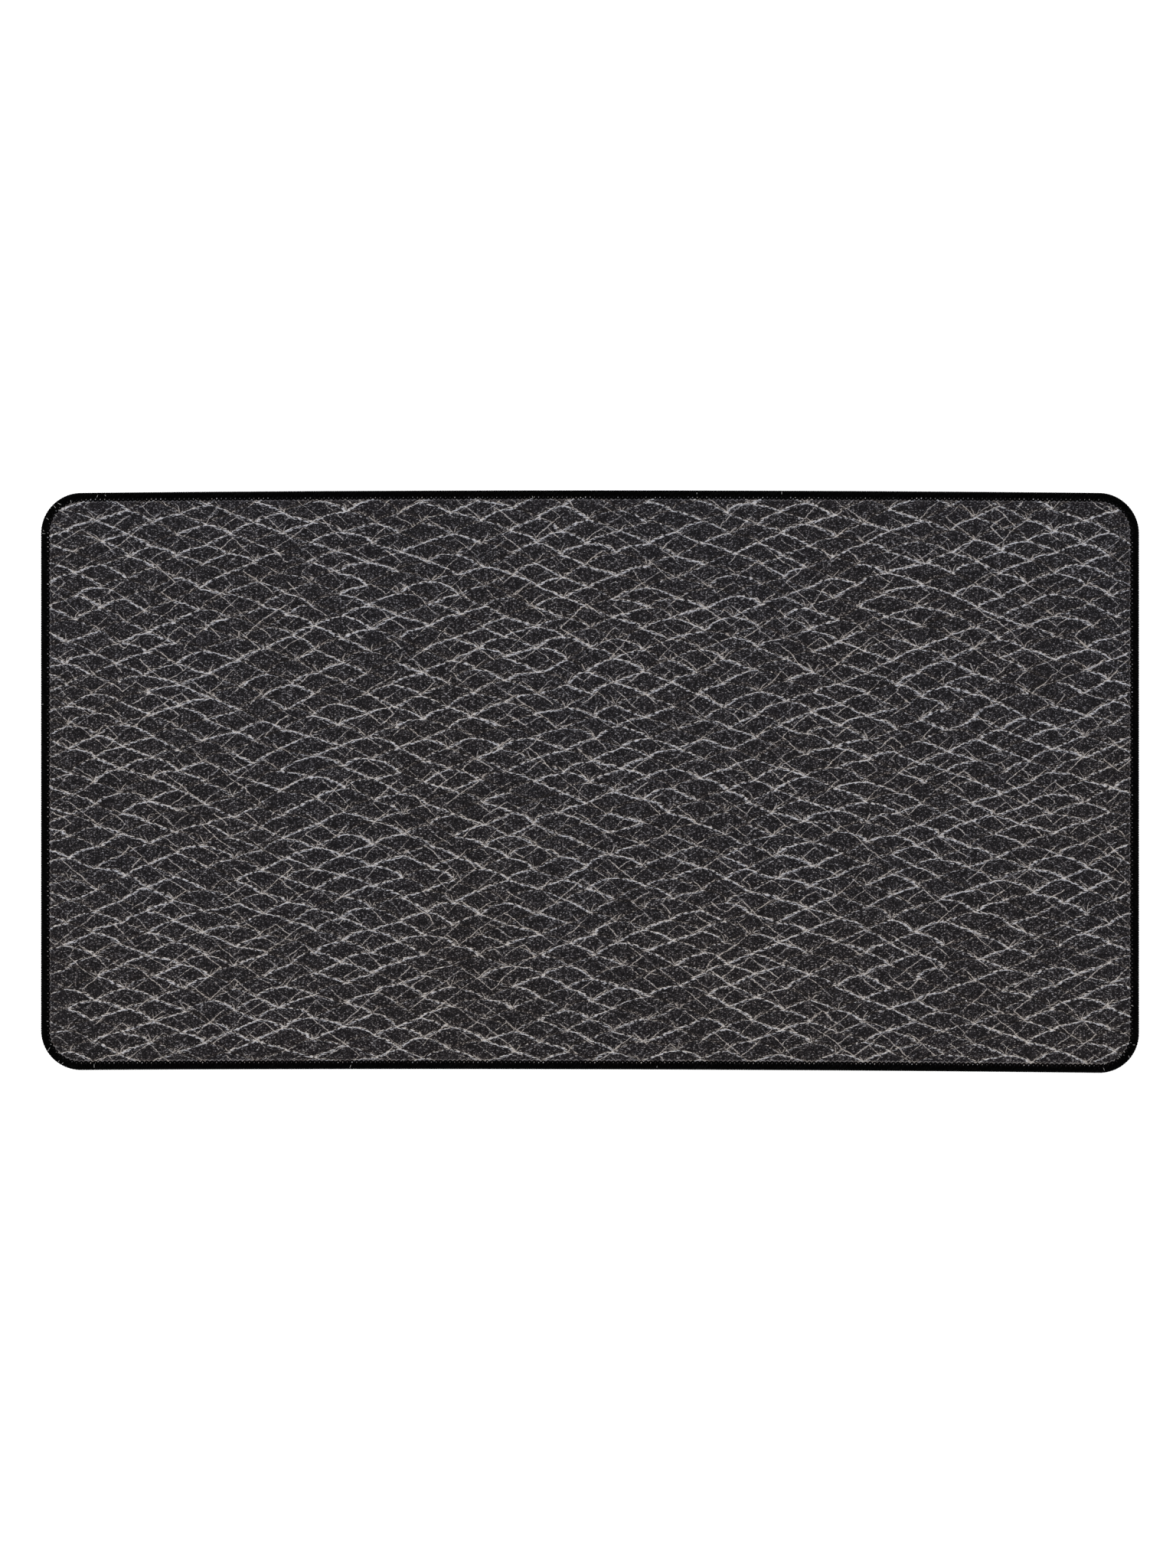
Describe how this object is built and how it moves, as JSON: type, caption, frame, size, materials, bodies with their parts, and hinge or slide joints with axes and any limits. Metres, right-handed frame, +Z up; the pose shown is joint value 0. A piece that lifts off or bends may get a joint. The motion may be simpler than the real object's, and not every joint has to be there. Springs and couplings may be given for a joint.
{
  "type": "desk mat",
  "caption": "Flat desk mat: leather-look printed cloth bonded to a foam rubber base, overlocked round its rounded edge.",
  "frame": {"origin": "centre of the resting face", "axes": "+X along the mat's length, +Y across it to the far edge, +Z up out of the printed face"},
  "size_m": [0.6, 0.3166, 0.004],
  "materials": {
    "printed_cloth": "close-woven polyester cloth printed in dark grey with a creased, speckled leather pattern, matt with a faint sheen",
    "hot_melt_film": "thin cloudy adhesive film",
    "foam_rubber": "black open-cell foam rubber with a moulded grip pattern underneath",
    "looper_yarn": "soft black textured polyester yarn",
    "needle_yarn": "tightly twisted black polyester sewing thread"
  },
  "bodies": {
    "root": {"printed_top_cloth": "printed_cloth", "bonding_film": "hot_melt_film", "foam_rubber_base": "foam_rubber", "upper_looper_thread": "looper_yarn", "lower_looper_thread": "looper_yarn", "needle_thread": "needle_yarn"}
  },
  "joints": []
}
